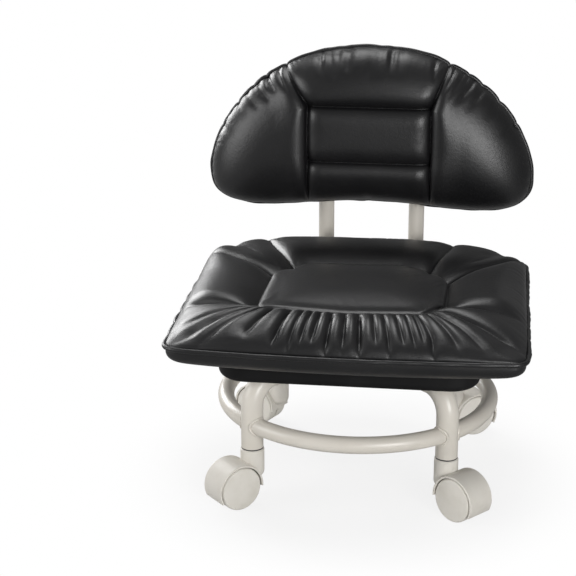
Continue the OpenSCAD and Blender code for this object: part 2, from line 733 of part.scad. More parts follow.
// Steel stem: a lower end with a groove that snaps into the housing, a collar, and an upper end
module stem(c) {
    low_r = stem_low_d / 2;
    top_r = stem_top_d / 2;
    stem_end = socket_z + stem_top_len;
    color(steel) at_corner(c) rotate_extrude() polygon([
        [0, stem_low_z], [low_r - edge_chamfer, stem_low_z], [low_r, stem_low_z + edge_chamfer],
        [low_r, stem_groove_z], [stem_groove_d / 2, stem_groove_z],
        [stem_groove_d / 2, stem_groove_z + stem_groove_w], [low_r, stem_groove_z + stem_groove_w],
        [low_r, collar_z], [collar_d / 2, collar_z], [collar_d / 2, socket_z], [top_r, socket_z],
        [top_r, grip_z], [top_r - grip_depth, grip_z], [top_r - grip_depth, grip_z + grip_w],
        [top_r, grip_z + grip_w], [top_r, stem_end - edge_chamfer],
        [top_r - edge_chamfer, stem_end], [0, stem_end]]);
}

// Split ring in the stem's upper groove
module grip_ring(c) {
    color(steel) at_corner(c) translate([0, 0, grip_z + fixed_fit]) difference() {
        cylinder(d = stem_top_d + fixed_fit, h = grip_w - 2 * fixed_fit);
        translate([0, 0, -over])
            cylinder(d = stem_top_d - 2 * grip_depth + 2 * fixed_fit, h = grip_w + 2 * over);
        translate([0, -grip_w / 4, -over]) cube([stem_top_d, grip_w / 2, grip_w + 2 * over]);
    }
}

// Profile of the hood's wall in a plane through the axle, with its rims rounded
function hood_profile() = concat(
    [[hood_in_r, -hood_half_w + hood_edge_r]],
    arc(hood_r - hood_edge_r, -hood_half_w + hood_edge_r, hood_edge_r, -180, 0, 8),
    arc(hood_r - hood_edge_r, hood_half_w - hood_edge_r, hood_edge_r, 0, 180, 8));

// Housing: hood, web with its axle boss, and the neck with a snap bore for the stem
module housing(c) {
    bore_d = stem_low_d + 2 * run_fit;
    lip_d = stem_groove_d + 2 * run_fit;
    neck_h = neck_top - neck_low;
    hood_angle = 180 + hood_tail + hood_nose;
    color(cream) at_caster(c) difference() {
        union() {
            at_axle() rotate(-hood_tail) rotate_extrude(angle = hood_angle, $fn = 96) polygon(hood_profile());
            difference() {
                translate([0, 0, neck_low]) rotate_extrude() polygon(concat([[0, 0]],
                    arc(neck_d / 2 - neck_round, neck_round, neck_round, -90, 0, 8),
                    [[neck_d / 2, neck_h - hood_edge_r], [neck_d / 2 - hood_edge_r, neck_h], [0, neck_h]]));
                at_axle() for (s = [-1, 1]) translate([0, 0, s * (web_t / 2 + hood_half_w)])
                    cylinder(r = hood_in_r, h = 2 * hood_half_w, center = true, $fn = 96);
            }
            at_axle() rotate(-hood_tail) rotate_extrude(angle = hood_angle)
                translate([0, -web_t / 2]) square([hood_in_r + hood_wall / 2, web_t]);
            at_axle() cylinder(r = web_r, h = web_t, center = true);
        }
        at_axle() cylinder(d = axle_d + 2 * fixed_fit, h = web_t + 2 * over, center = true);
        translate([0, 0, collar_z - side_gap / 4]) cylinder(d = collar_d + 2 * side_gap, h = neck_top);
        translate([0, 0, stem_low_z - side_gap]) difference() {
            cylinder(d = bore_d, h = neck_top);
            translate([0, 0, stem_groove_z - stem_low_z + side_gap + run_fit]) difference() {
                cylinder(d = bore_d + over, h = stem_groove_w - 2 * run_fit);
                cylinder(d = lip_d, h = stem_groove_w);
            }
        }
    }
}

// Axle pin with a groove near each end for the wheels' snap lips
module axle(c) {
    r = axle_d / 2;
    groove_r = axle_groove_d / 2;
    g0 = axle_groove_y;
    g1 = axle_groove_y + axle_groove_w;
    color(steel) at_caster(c) at_axle() rotate_extrude() polygon([
        [0, -axle_half_len], [r - edge_chamfer / 2, -axle_half_len], [r, -axle_half_len + edge_chamfer / 2],
        [r, -g1], [groove_r, -g1], [groove_r, -g0], [r, -g0],
        [r, g0], [groove_r, g0], [groove_r, g1], [r, g1],
        [r, axle_half_len - edge_chamfer / 2], [r - edge_chamfer / 2, axle_half_len], [0, axle_half_len]]);
}

// One wheel with its open side at z = 0 and its domed face up, turning on the axle
module wheel_body() {
    face_r = wheel_r - wheel_edge_r;
    rim_r = wheel_r - wheel_wall;
    hub_r = wheel_hub_d / 2;
    bore_r = axle_d / 2 + run_fit;
    lip_r = axle_groove_d / 2 + run_fit;
    bore_end = axle_half_len - wheel_in + side_gap / 2;
    inner = wheel_w - wheel_wall;
    lip_z0 = axle_groove_y - wheel_in + run_fit;
    lip_z1 = lip_z0 + axle_groove_w - 2 * run_fit;
    hub_z = -side_gap * 0.75;
    bevel = wheel_edge_r / 4;
    rotate_extrude($fn = 96) polygon(concat(
        [[0, bore_end], [bore_r, bore_end], [bore_r, lip_z1], [lip_r, lip_z1], [lip_r, lip_z0],
            [bore_r, lip_z0], [bore_r, hub_z], [hub_r, hub_z], [hub_r, inner], [rim_r, inner], [rim_r, 0],
            [wheel_r - bevel, 0], [wheel_r, bevel]],
        arc(face_r, wheel_w - wheel_edge_r, wheel_edge_r, 0, 78, 7),
        [for (i = [9:-1:0]) let (t = i / 10) [face_r * t, wheel_w + wheel_dome * (1 - t * t)]]));
    for (i = [0:wheel_ribs - 1]) rotate(i * 360 / wheel_ribs)
        translate([hub_r - wheel_wall / 4, -wheel_wall / 4, wheel_w * 0.3])
        cube([rim_r - hub_r + wheel_wall / 2, wheel_wall / 2, inner - wheel_w * 0.3 + wheel_wall / 4]);
}

// side is 1 for the wheel on the right seen from the tail, -1 for the one on the left
module wheel(c, side) {
    color(cream) at_caster(c) at_axle() rotate(side > 0 ? [0, 0, 0] : [180, 0, 0])
        translate([0, 0, wheel_in]) wheel_body();
}

hub_tube();
seat_plate();
leg(FL);  // leg_front_left
leg(FR);  // leg_front_right
leg(RL);  // leg_rear_left
leg(RR);  // leg_rear_right
brace(corner_angles[FL]);  // brace_front
brace(corner_angles[FR]);  // brace_right
brace(corner_angles[RR]);  // brace_rear
brace(corner_angles[RL]);  // brace_left
seat_base_wrap();
seat_board();
seat_cushion();
post(-post_x);  // post_left
post(post_x);  // post_right
post_top_caps();
post_foot_caps();
back_board();
back_cover();
back_cushion();
seat_bolts();
seat_tee_nuts();
foot_bolts();
foot_tee_nuts();
back_bolts();
back_tee_nuts();
socket(FL);  // socket_fl
stem(FL);  // stem_fl
grip_ring(FL);  // grip_ring_fl
housing(FL);  // housing_fl
axle(FL);  // axle_fl
wheel(FL, -1);  // wheel_left_fl
wheel(FL, 1);  // wheel_right_fl
socket(FR);  // socket_fr
stem(FR);  // stem_fr
grip_ring(FR);  // grip_ring_fr
housing(FR);  // housing_fr
axle(FR);  // axle_fr
wheel(FR, -1);  // wheel_left_fr
wheel(FR, 1);  // wheel_right_fr
socket(RL);  // socket_rl
stem(RL);  // stem_rl
grip_ring(RL);  // grip_ring_rl
housing(RL);  // housing_rl
axle(RL);  // axle_rl
wheel(RL, -1);  // wheel_left_rl
wheel(RL, 1);  // wheel_right_rl
socket(RR);  // socket_rr
stem(RR);  // stem_rr
grip_ring(RR);  // grip_ring_rr
housing(RR);  // housing_rr
axle(RR);  // axle_rr
wheel(RR, -1);  // wheel_left_rr
wheel(RR, 1);  // wheel_right_rr
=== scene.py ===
from math import cos, pi, radians, sin

import bpy
import numpy as np
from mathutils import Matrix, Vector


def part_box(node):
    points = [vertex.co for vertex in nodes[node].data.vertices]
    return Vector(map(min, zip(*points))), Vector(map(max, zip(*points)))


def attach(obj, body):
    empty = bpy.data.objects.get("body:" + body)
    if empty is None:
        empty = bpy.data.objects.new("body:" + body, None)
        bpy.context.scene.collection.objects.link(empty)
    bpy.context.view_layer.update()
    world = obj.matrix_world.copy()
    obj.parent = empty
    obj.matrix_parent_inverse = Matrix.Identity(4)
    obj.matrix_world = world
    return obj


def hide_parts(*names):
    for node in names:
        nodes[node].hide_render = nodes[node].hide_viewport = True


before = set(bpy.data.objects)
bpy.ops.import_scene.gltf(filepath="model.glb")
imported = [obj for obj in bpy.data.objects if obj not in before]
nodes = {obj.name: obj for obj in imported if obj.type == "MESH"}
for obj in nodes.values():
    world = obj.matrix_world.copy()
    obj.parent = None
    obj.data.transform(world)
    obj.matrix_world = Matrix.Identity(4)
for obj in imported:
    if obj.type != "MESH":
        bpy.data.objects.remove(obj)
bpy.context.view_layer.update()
MM = 0.001


def camera():
    """The photograph's camera, as fitted to the stool: a 105.6 mm lens on a 36 mm square frame."""
    data = bpy.data.cameras.new("camera")
    data.lens = 105.6
    data.sensor_width = 36
    data.clip_start = 0.1
    data.clip_end = 50
    camera = bpy.data.objects.new("camera", data)
    camera.location = (0.1526, -1.8258, 0.8418)
    camera.rotation_euler = (radians(71.39), 0, radians(7.29))
    bpy.context.scene.collection.objects.link(camera)
    bpy.context.scene.camera = camera


camera()


# Meshes

def build(name, points, quads):
    """A mesh object from an (n, 3) array of points in metres and an (m, 4) array of corners."""
    mesh = bpy.data.meshes.new(name)
    mesh.vertices.add(len(points))
    mesh.vertices.foreach_set("co", np.asarray(points, np.float32).ravel())
    mesh.loops.add(quads.size)
    mesh.loops.foreach_set("vertex_index", quads.astype(np.int32).ravel())
    mesh.polygons.add(len(quads))
    mesh.polygons.foreach_set("loop_start", np.arange(0, quads.size, 4, dtype=np.int32))
    mesh.update(calc_edges=True)
    mesh.validate()
    mesh.shade_smooth()
    piece = bpy.data.objects.new(name, mesh)
    bpy.context.scene.collection.objects.link(piece)
    return piece


def grid_quads(index):
    """Corners of the quads on a grid of point numbers, each wound row first."""
    a, b, c, d = index[:-1, :-1], index[:-1, 1:], index[1:, 1:], index[1:, :-1]
    return np.stack([a, b, c, d], -1).reshape(-1, 4)


def strip(rows, columns, close_rows=False):
    """Corners of the quads on a grid of rows by columns whose columns close on themselves, and its
    rows too where close_rows is true."""
    index = np.arange(rows * columns).reshape(rows, columns)
    index = np.hstack([index, index[:, :1]])
    if close_rows:
        index = np.vstack([index, index[:1]])
    return grid_quads(index)


def smooth(t):
    """3t^2 - 2t^3 between 0 and 1, and flat outside."""
    t = np.clip(t, 0, 1)
    return t * t * (3 - 2 * t)


def bell(t):
    """exp(-t^2)."""
    return np.exp(-np.square(t))


def quarter(t):
    """Quarter circle from 0 to 1."""
    return np.sqrt(1 - (1 - np.clip(t, 0, 1)) ** 2)


def unit(v):
    """Vectors drawn to length 1."""
    return v / np.maximum(np.linalg.norm(v, axis=-1, keepdims=True), 1e-12)


def along(points, closed=False):
    """Distance along a polyline to each of its points; a closed one has its whole length last."""
    ring = np.vstack([points, points[:1]]) if closed else points
    steps = np.linalg.norm(np.diff(ring, axis=0), axis=1)
    return np.concatenate([[0], np.cumsum(steps)])


def resample(points, at, closed=False):
    """Points at the given distances along a polyline."""
    ring = np.vstack([points, points[:1]]) if closed else points
    length = along(points, closed)
    at = np.mod(at, length[-1]) if closed else at
    return np.stack([np.interp(at, length, ring[:, k]) for k in range(3)], -1)


def tube(name, path, radius, outward, sides=12):
    """A round cord along a closed path: at each point a circle of the given radius in the plane of
    the outward direction and of the direction square to it and to the path."""
    n = len(path)
    ahead = unit(np.roll(path, -1, 0) - np.roll(path, 1, 0))
    out = unit(outward - (outward * ahead).sum(1, keepdims=True) * ahead)
    up = np.cross(ahead, out)
    turn = np.arange(sides) * 2 * pi / sides
    radius = np.broadcast_to(np.asarray(radius, float).reshape(-1, 1, 1), (n, 1, 1))
    across, above = np.cos(turn)[None, :, None], np.sin(turn)[None, :, None]
    ring = radius * (across * out[:, None] + above * up[:, None])
    return build(name, (path[:, None] + ring).reshape(-1, 3), strip(n, sides, close_rows=True))


def subdivide(piece):
    """Halves the mesh's quads with a smooth surface, for the view as for the render."""
    modifier = piece.modifiers.new("subdivide", "SUBSURF")
    modifier.levels = modifier.render_levels = 1


def read(piece, evaluated=False):
    """The piece's points as an array."""
    mesh = piece.data
    if evaluated:
        mesh = piece.evaluated_get(bpy.context.evaluated_depsgraph_get()).data
    points = np.empty(len(mesh.vertices) * 3, np.float32)
    mesh.vertices.foreach_get("co", points)
    return points.reshape(-1, 3).astype(float)


def write(piece, points):
    """Puts the piece's points where the array says."""
    piece.data.vertices.foreach_set("co", points.astype(np.float32).ravel())
    piece.data.update()


# Cloth

CLOTH_STEPS = 20
PRESSURE = 4
STIFFNESS = 15
BENDING = 0.5


def inflate(piece, held, cap):
    """Swells the cover as stitched cloth under pressure: the points with held = 1 stay where they
    are, those between 0 and 1 are drawn back by that share, and none moves further than cap."""
    rest = read(piece)
    group = piece.vertex_groups.new(name="held")
    group.add(np.flatnonzero(held > 0.999).tolist(), 1.0, "REPLACE")
    cloth = piece.modifiers.new("cloth", "CLOTH")
    settings = cloth.settings
    settings.vertex_group_mass = "held"
    settings.use_pressure = True
    settings.uniform_pressure_force = PRESSURE
    settings.effector_weights.gravity = 0
    settings.quality = 6
    settings.tension_stiffness = STIFFNESS
    settings.compression_stiffness = STIFFNESS
    settings.shear_stiffness = STIFFNESS / 3
    settings.bending_stiffness = BENDING
    settings.air_damping = 2
    cloth.collision_settings.use_collision = False
    cloth.point_cache.frame_start = 1
    cloth.point_cache.frame_end = CLOTH_STEPS
    scene = bpy.context.scene
    for step in range(1, CLOTH_STEPS + 1):
        scene.frame_set(step)
    swollen = read(piece, evaluated=True)
    piece.modifiers.remove(cloth)
    piece.vertex_groups.remove(group)
    scene.frame_set(1)
    move = (swollen - rest) * (1 - held)[:, None]
    far = np.linalg.norm(move, axis=1, keepdims=True)
    write(piece, rest + move * np.minimum(1, cap / np.maximum(far, 1e-9)))


# What both pillows use: the piping's radius, and the draws for all that is uneven in them
PIPING = 2.8 * MM
DRAWS = np.random.default_rng(11)


def coons(front, right, rear, left):
    """A patch between four sides: the two blends of facing sides, less the blend of its corners."""
    u = np.linspace(0, 1, len(front))[None, :, None]
    v = np.linspace(0, 1, len(right))[:, None, None]
    across = (1 - v) * front[None] + v * rear[None]
    upward = (1 - u) * left[:, None] + u * right[:, None]
    corners = ((1 - v) * ((1 - u) * front[0] + u * front[-1])
               + v * ((1 - u) * rear[0] + u * rear[-1]))
    return across + upward - corners


def patch_index(loop, start, wide, deep, first_new):
    """Point numbers of a patch of wide by deep quads: its rim comes from the loop of point numbers,
    anticlockwise from its front left corner, and its inside is numbered from first_new."""
    rim = loop[(start + np.arange(2 * (wide + deep) + 1)) % len(loop)]
    inner = (deep - 1, wide - 1)
    index = np.empty((deep + 1, wide + 1), int)
    index[0] = rim[:wide + 1]
    index[:, -1] = rim[wide:wide + deep + 1]
    index[-1] = rim[wide + deep:2 * wide + deep + 1][::-1]
    index[:, 0] = rim[2 * wide + deep:][::-1]
    index[1:-1, 1:-1] = first_new + np.arange(inner[0] * inner[1]).reshape(inner)
    return index


def pleat(flat, start, heading, length, width, depth, curl=0.0, full=0.45):
    """Height of a gather on flat points: a valley with rounded banks that runs from its start along
    its heading, curls aside by a share of its length, widens and fades out past its full share."""
    way = np.array(heading, float) / np.hypot(*heading)
    gap = flat - np.array(start, float)
    t = gap @ way / length
    side = gap @ np.array([-way[1], way[0]]) - curl * length * np.clip(t, 0, 1) ** 2
    side = np.abs(side) / (width * (0.75 + 0.5 * np.clip(t, 0, 1)))
    return -depth * smooth(t / 0.1) * (1 - smooth((t - full) / (1 - full))) * (1 - quarter(side))


def swell(piece, field):
    """Moves each point along its normal by the field."""
    normals = np.empty(len(piece.data.vertices) * 3, np.float32)
    piece.data.vertex_normals.foreach_get("vector", normals)
    write(piece, read(piece) + normals.reshape(-1, 3) * field[:, None])


def gap_to(flat, line):
    """Least distance from flat points to a polyline's points."""
    gap = np.full(len(flat), np.inf)
    for spot in line:
        gap = np.minimum(gap, np.hypot(flat[:, 0] - spot[0], flat[:, 1] - spot[1]))
    return gap


def soft_gap(flat, line):
    """Distance from flat points to an outline without the crease that the least distance has in the
    middle: (the integral of 1 / distance^6 along the outline / 1.178) ^ (-1/5), which is the plain
    distance by a straight line."""
    steps = np.linalg.norm(np.roll(line, -1, 0) - line, axis=1)
    total = np.zeros(len(flat))
    for spot, step in zip(line, steps):
        gap = np.hypot(flat[:, 0] - spot[0], flat[:, 1] - spot[1]).clip(0.5 * MM)
        total += step / gap ** 6
    return (total / 1.178) ** -0.2


def piping(name, path, outward, wave=0.5):
    """A cord whose radius and place waver a little: a sum of sines of 5 to 37 turns round it, of
    drawn heights and phases, moves it outwards by up to about wave millimetres."""
    length = along(path, True)
    s = length[:-1] / length[-1] * 2 * pi
    waver = sum(DRAWS.uniform(0.4, 1) * np.sin(turns * s + DRAWS.uniform(0, 2 * pi))
                for turns in (5, 9, 14, 23, 37)) / 2.4
    moved = path + outward * (wave * MM * waver)[:, None]
    piece = tube(name, moved, PIPING * (1 + 0.05 * waver), outward)
    subdivide(piece)
    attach(piece, "root")
    return piece


# Seat pillow: the heights of its underside and piping, the rise of its crest above the piping, and
# the outline of the piping seen from above
seat_low, seat_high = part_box("seat_cushion")
SEAT_Z = seat_low.z
SEAM_Z = SEAT_Z + 29.7 * MM
CREST = seat_high.z - SEAM_Z
SEAT_W = seat_high.x - PIPING
SEAT_REAR = seat_high.y - PIPING
SEAT_FRONT = 188 * MM
SEAT_BOW = 9 * MM
SEAT_CORNER = 15 * MM
SEAT_MID = (SEAT_REAR - SEAT_FRONT) / 2

# Room left below the CAD's crest for the swelling, the most that the cloth may swell, the width and
# depth of the valleys at the radial seams, and how firmly the panel is held while it swells
SEAT_ROOM = 3 * MM
SEAT_SWELL = 9 * MM
VALLEY_WIDE = 22 * MM
VALLEY_DEEP = 11 * MM
PANEL_HOLD = 0.65
# How far in from its seam the panel has lost the seam's ups and downs, and has its full rise
PANEL_LEVEL = 22 * MM
PANEL_DOME = 70 * MM
# Spacing and depth of the notches drawn into the piping at the sides, and the step of its mesh
NOTCH_PITCH = 38 * MM
NOTCH_DEEP = 2.4 * MM
CORD_STEP = 1.6 * MM

# Rings from the underside over the boxing to the tuck at the piping: inset, rise at the front and
# sides, and rise at the rear, in mm
SEAT_RINGS = [(56, 0, 0), (44, 0, 0), (33, 4, 0), (24, 7.6, 0), (16, 10.2, 0), (10.5, 12.3, 0.5),
              (6.5, 14.6, 6), (4, 17.4, 12.5), (2.6, 20.6, 18.5), (2, 24, 23.5), (2.4, 27.7, 27.7),
              (2.6, 31, 31)]

# Corners of the sunk panel's seam in mm, anticlockwise from the right front
PANEL_CORNERS = [(102, -88), (104, 2), (82, 40), (44, 62), (-66, 54), (-102, 10), (-101, -122),
                 (-3, -132), (80, -124)]

# Lines across the lobes, anticlockwise from the right rear: their ends on the piping and on the
# panel's seam in mm, the columns of the mesh from each to the next, and whether a radial seam is
# sewn there
SEAT_LINES = [
    ((192, 112), (103, 8), 36, True),
    ((108, 157), (80, 43), 94, True),
    ((-128, 157), (-82, 43), 38, True),
    ((-190, 96), (-104, 14), 52, True),
    ((-193, -88), (-99, -127), 34, True),
    ((-100, -196), (-78, -131), 100, False),
    ((100, -196), (76, -128), 36, False),
    ((193, -86), (104, -98), 52, True),
]
LINE_COLUMNS = np.cumsum([0] + [line[2] for line in SEAT_LINES])
COLUMNS = LINE_COLUMNS[-1]
SEWN = [start for start, line in zip(LINE_COLUMNS, SEAT_LINES) if line[3]]
# The front lobe runs between these columns; the panel's patch is as wide
FRONT_FIRST, FRONT_LAST = SEWN[4], SEWN[5]
PANEL_WIDE = FRONT_LAST - FRONT_FIRST
PANEL_DEEP = COLUMNS // 2 - PANEL_WIDE


def rounded(half_w, front, rear, corner, steps=12, side=60):
    """Anticlockwise outline of a rounded rectangle whose front side bows outwards."""
    middle = (rear - front) / 2
    turns = [np.linspace(a, a + pi / 2, steps) for a in (0, pi / 2, pi, 3 * pi / 2)]
    centres = [(half_w - corner, rear - corner), (corner - half_w, rear - corner),
               (corner - half_w, corner - front), (half_w - corner, corner - front)]
    arcs = [np.stack([x + corner * np.cos(t), y + corner * np.sin(t)], -1)
            for (x, y), t in zip(centres, turns)]
    sides = [np.linspace(arcs[k][-1], arcs[(k + 1) % 4][0], side)[1:-1] for k in range(4)]
    points = np.vstack([part for pair in zip(arcs, sides) for part in pair])
    ahead = np.clip((middle - points[:, 1]) / (middle + front), 0, 1)
    points[:, 1] -= SEAT_BOW * ahead * (1 - (points[:, 0] / half_w) ** 2)
    return np.column_stack([points, np.zeros(len(points))])


def softened(corners, step):
    """A closed outline through the corners, marked off in even steps, with each corner of that
    outline cut at a quarter of its sides four times over."""
    outline = np.column_stack([np.array(corners, float) * MM, np.zeros(len(corners))])
    points = resample(outline, np.arange(0, along(outline, True)[-1], step), True)
    for _ in range(4):
        ahead = np.roll(points, -1, 0)
        points = np.stack([0.75 * points + 0.25 * ahead, 0.25 * points + 0.75 * ahead], 1)
        points = points.reshape(-1, 3)
    return points


def spread(outline, stops):
    """Points along a closed outline, evenly spaced between the outline points nearest to stops."""
    length = along(outline, True)
    gaps = [np.hypot(*(outline[:, :2] - np.array(stop) * MM).T) for stop in stops]
    at = length[[np.argmin(gap) for gap in gaps]]
    at = np.append(at, at[0] + length[-1])
    at = np.where(at < at[0], at + length[-1], at)
    return resample(outline, np.interp(np.arange(COLUMNS), LINE_COLUMNS, at), True)


def squareness(points):
    """|x y| from the seat's middle, as a share of what it is at the corners."""
    return np.abs(points[:, 0] * (points[:, 1] - SEAT_MID)) / (SEAT_W * (SEAT_FRONT + SEAT_MID))


# By column: the ends of its line on the piping and on the panel's seam, its share of the front
# lobe, of the rear, and of the front edge
seat_edge = spread(rounded(SEAT_W, SEAT_FRONT, SEAT_REAR, SEAT_CORNER),
                   [line[0] for line in SEAT_LINES])
panel_edge = spread(softened(PANEL_CORNERS, 12 * MM), [line[1] for line in SEAT_LINES])
column = np.arange(COLUMNS)
ahead_share = smooth((column - FRONT_FIRST + 6) / 12) * smooth((FRONT_LAST + 7 - column) / 14)
behind_share = smooth(seat_edge[:, 1] / (120 * MM))
front_share = smooth((-150 - seat_edge[:, 1] / MM) / 30)
# The outline with its corners rounded off, by a running mean along the columns
SPAN = 18
WEIGHTS = bell(np.arange(-SPAN, SPAN + 1) / 8)
WEIGHTS = WEIGHTS / WEIGHTS.sum()
round_edge = sum(w * np.roll(seat_edge, k, 0) for k, w in zip(range(-SPAN, SPAN + 1), WEIGHTS))
# Share of the way to the panel that the low ears take up at the four corners
corner = squareness(seat_edge)
ear_share = 0.25 * corner ** 12 + 0.03 * corner ** 3


def lobe_rise(way, ahead, behind):
    """Rise of the lobes as a share of the crest at a share of the way from the piping to the panel:
    a rounded step and a slow fall at the sides, a steeper step at the rear and a longer one at the
    front."""
    reach = 0.5 - 0.22 * behind
    side = (1 - (1 - np.minimum(way / reach, 1)) ** 2.3) ** (0.82 - 0.2 * behind)
    side = side - 0.34 * np.clip((way - 0.5) / 0.5, 0, 1) ** 2.4
    front = 0.98 * (1 - (1 - np.minimum(way / 0.85, 1)) ** 1.9) ** 0.65
    front = front - 0.15 * np.clip((way - 0.85) / 0.15, 0, 1) ** 1.5
    return side * (1 - ahead) + front * ahead


def seat_cover():
    """The seat's cover as one closed mesh: a flat patch below, rings from there over the boxing,
    the tuck at the piping and the lobes to the panel's seam, and the panel as a patch on top. Comes
    with how firmly each point is held, and the folds that are pressed in after the swelling."""
    rings = []
    for inset, rise, rear_rise in SEAT_RINGS:
        share = 1 - inset * MM / SEAT_W
        ring = seat_edge * [share, share, 1]
        ring[:, 1] += SEAT_MID * (1 - share)
        ring[:, 2] = SEAT_Z + (rise + (rear_rise - rise) * behind_share) * MM
        rings.append(ring)
    lobes = len(rings)
    ways = np.concatenate([[0.016, 0.03, 0.046], np.linspace(0.065, 0.2, 6),
                           np.linspace(0.23, 0.9, 22), [0.925, 0.95, 0.97, 0.985, 1]])
    outward = unit(seat_edge[:, :2] - [0, SEAT_MID])
    for way in ways:
        reach = (way + ear_share * (1 - way) * smooth(way / 0.08))[:, None]
        rounding = smooth((way - 0.02) / 0.3)
        edge = seat_edge * (1 - rounding) + round_edge * rounding
        ring = edge * (1 - reach) + panel_edge * reach
        # The lobes are lower at the rear corners, and bulge a little over the piping elsewhere
        low = 1 - 0.3 * corner ** 2.5 * behind_share * (1 - way ** 2)
        ring[:, 2] = SEAM_Z + (CREST - SEAT_ROOM) * lobe_rise(way, ahead_share, behind_share) * low
        ring[:, :2] += (1 * MM * bell((way - 0.1) / 0.09) * (1 - corner ** 4))[:, None] * outward
        rings.append(ring)
    rings = np.array(rings)
    rows = len(rings)

    # Valleys at the radial seams, by the distance along each ring
    steps = np.linalg.norm(np.diff(rings[:, :, :2], axis=1, append=rings[:, :1, :2]), axis=2)
    place = np.concatenate([np.zeros((rows, 1)), np.cumsum(steps, 1)], 1)
    valley = np.zeros((rows, COLUMNS))
    for seam in SEWN:
        away = np.abs(place[:, :-1] - place[:, seam:seam + 1])
        away = np.minimum(away, place[:, -1:] - away)
        valley = np.maximum(valley, 1 - quarter(away / VALLEY_WIDE))
    reach = np.concatenate([np.zeros(lobes), smooth(ways / 0.3)])[:, None]
    rings[:, :, 2] -= VALLEY_DEEP * valley * reach * (rings[:, :, 2] - SEAM_Z).clip(0) / CREST

    loop = np.arange(COLUMNS)
    ringed = rows * COLUMNS
    inside = (PANEL_WIDE - 1) * (PANEL_DEEP - 1)
    below = patch_index(loop, FRONT_FIRST, PANEL_WIDE, PANEL_DEEP, ringed)
    top_loop = loop + (rows - 1) * COLUMNS
    panel = patch_index(top_loop, FRONT_FIRST, PANEL_WIDE, PANEL_DEEP, ringed + inside)
    points = np.vstack([rings.reshape(-1, 3), np.zeros((2 * inside, 3))])
    for index in (below, panel):
        sides = (index[0], index[:, -1], index[-1], index[:, 0])
        points[index] = coons(*[points[side] for side in sides])

    # The panel is a low dome: 1 - (1 - t)^2.2 of its rise, with t from 0 at its seam to 1
    near = soft_gap(points[panel.ravel(), :2], panel_edge[:, :2]).reshape(panel.shape)
    level = smooth(near / PANEL_LEVEL)
    rim = points[panel][:, :, 2] * (1 - level) + rings[-1, :, 2].mean() * level
    dome = 1 - (1 - np.minimum(near / PANEL_DOME, 1)) ** 2.2
    points[panel, 2] = rim + (seat_high.z - SEAT_ROOM - rim) * dome

    # Held: the patch below and the rings by it, the tuck at the piping, the radial seams from the
    # crest on, and the panel's seam
    held = np.zeros(len(points))
    ring_held = np.zeros((rows, COLUMNS))
    ring_held[:3] = 1
    ring_held[lobes - 2:lobes] = 1
    ring_held[-1] = 1
    ring_held[lobes + 6:, SEWN] = 1
    held[:ringed] = ring_held.ravel()
    held[panel[1:-1, 1:-1].ravel()] = PANEL_HOLD
    held[below.ravel()] = 1
    quads = np.vstack([strip(rows, COLUMNS), grid_quads(below)[:, ::-1], grid_quads(panel)])
    folds = np.zeros(len(points))
    folds[lobes * COLUMNS:ringed] = seat_folds(ways).ravel()
    return build("seat_pillow", points, quads), held, folds


def fold(ways, place, width, depth, first, last):
    """A valley along one column of the lobes: a cusp with rounded banks across the columns, full
    from the last share of the way and gone by the first one, and shallow at the panel's seam."""
    across = 1 - quarter(np.abs(column - place) / width)
    along_it = smooth((1 - ways) / 0.16) * smooth((ways - first) / (last - first))
    return -depth * along_it[:, None] * across


def seat_folds(ways):
    """Gathers of the front lobe, deep and long from the panel's seam down, and short puckers that
    run in from the piping all round."""
    field = np.zeros((len(ways), COLUMNS))
    place = FRONT_FIRST + 12
    while place < FRONT_LAST - 12:
        wide = 1.0 if LINE_COLUMNS[5] <= place < LINE_COLUMNS[6] else 1.5
        gap = int(DRAWS.integers(4, 10) * wide)
        end = DRAWS.uniform(-0.08, 0.12)
        depth = DRAWS.uniform(0.6, 1.15) * gap / wide * MM
        field = np.minimum(field, fold(ways, place, 0.72 * gap, depth, end, end + 0.25))
        place += gap
    for place in range(0, COLUMNS, 3):
        reach = DRAWS.uniform(0.12, 0.5)
        across = (1 - quarter(np.abs(column - place) / 1.8)) * (1 - front_share) * (1 - corner ** 3)
        along_it = smooth(ways / 0.04) * (1 - smooth(ways / reach))
        field -= DRAWS.uniform(0.1, 0.9) * MM * along_it[:, None] * across
    return field


def seat():
    """The seat's pillow and its piping."""
    piece, held, folds = seat_cover()
    inflate(piece, held, SEAT_SWELL)
    swell(piece, folds)
    subdivide(piece)
    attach(piece, "root")
    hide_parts("seat_cushion")

    # The piping is drawn in by notches at the sides, and at the corners it follows the cover
    outline = seat_edge + [0, 0, SEAM_Z + 0.5 * MM]
    s = np.arange(0, along(outline, True)[-1] - 1 * MM, CORD_STEP)
    path = resample(outline, s, True)
    ahead = unit(np.roll(path, -1, 0) - np.roll(path, 1, 0))
    outward = np.stack([ahead[:, 1], -ahead[:, 0], 0 * s], -1)
    x, y = path[:, 0] / MM, path[:, 1] / MM
    side = smooth((np.abs(x) - 150) / 30) * smooth((140 - np.abs(y + 20)) / 30)
    notch = NOTCH_DEEP * side * (1 - quarter(np.abs(np.sin(pi * s / NOTCH_PITCH))))
    notch = notch + 2.1 * MM * squareness(path) ** 7
    cord = piping("seat_piping", path - outward * notch[:, None], outward, 0.8)
    return [piece, cord]


# Backrest pillow: the width of its outline, the planes of its rear and of its piping, and the
# height of the outline's tips
back_low, back_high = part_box("back_cushion")
BACK_W = back_high.x - PIPING
BACK_Y = back_high.y
BACK_SEAM_Y = BACK_Y - 19 * MM
TIP_Z = 326 * MM

# The pocket for the board: how far in from the outline it starts, and its depth
BACK_MARGIN = 18 * MM
POCKET = BACK_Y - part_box("back_board")[0].y + 0.3 * MM

# Heights of the level seams, and x of the upright ones in mm: at their foot, and at the top edge
LEVELS = (343 * MM, 410 * MM)
UPRIGHT_X = 73
LEFT_TOP_X, RIGHT_TOP_X = -102, 93

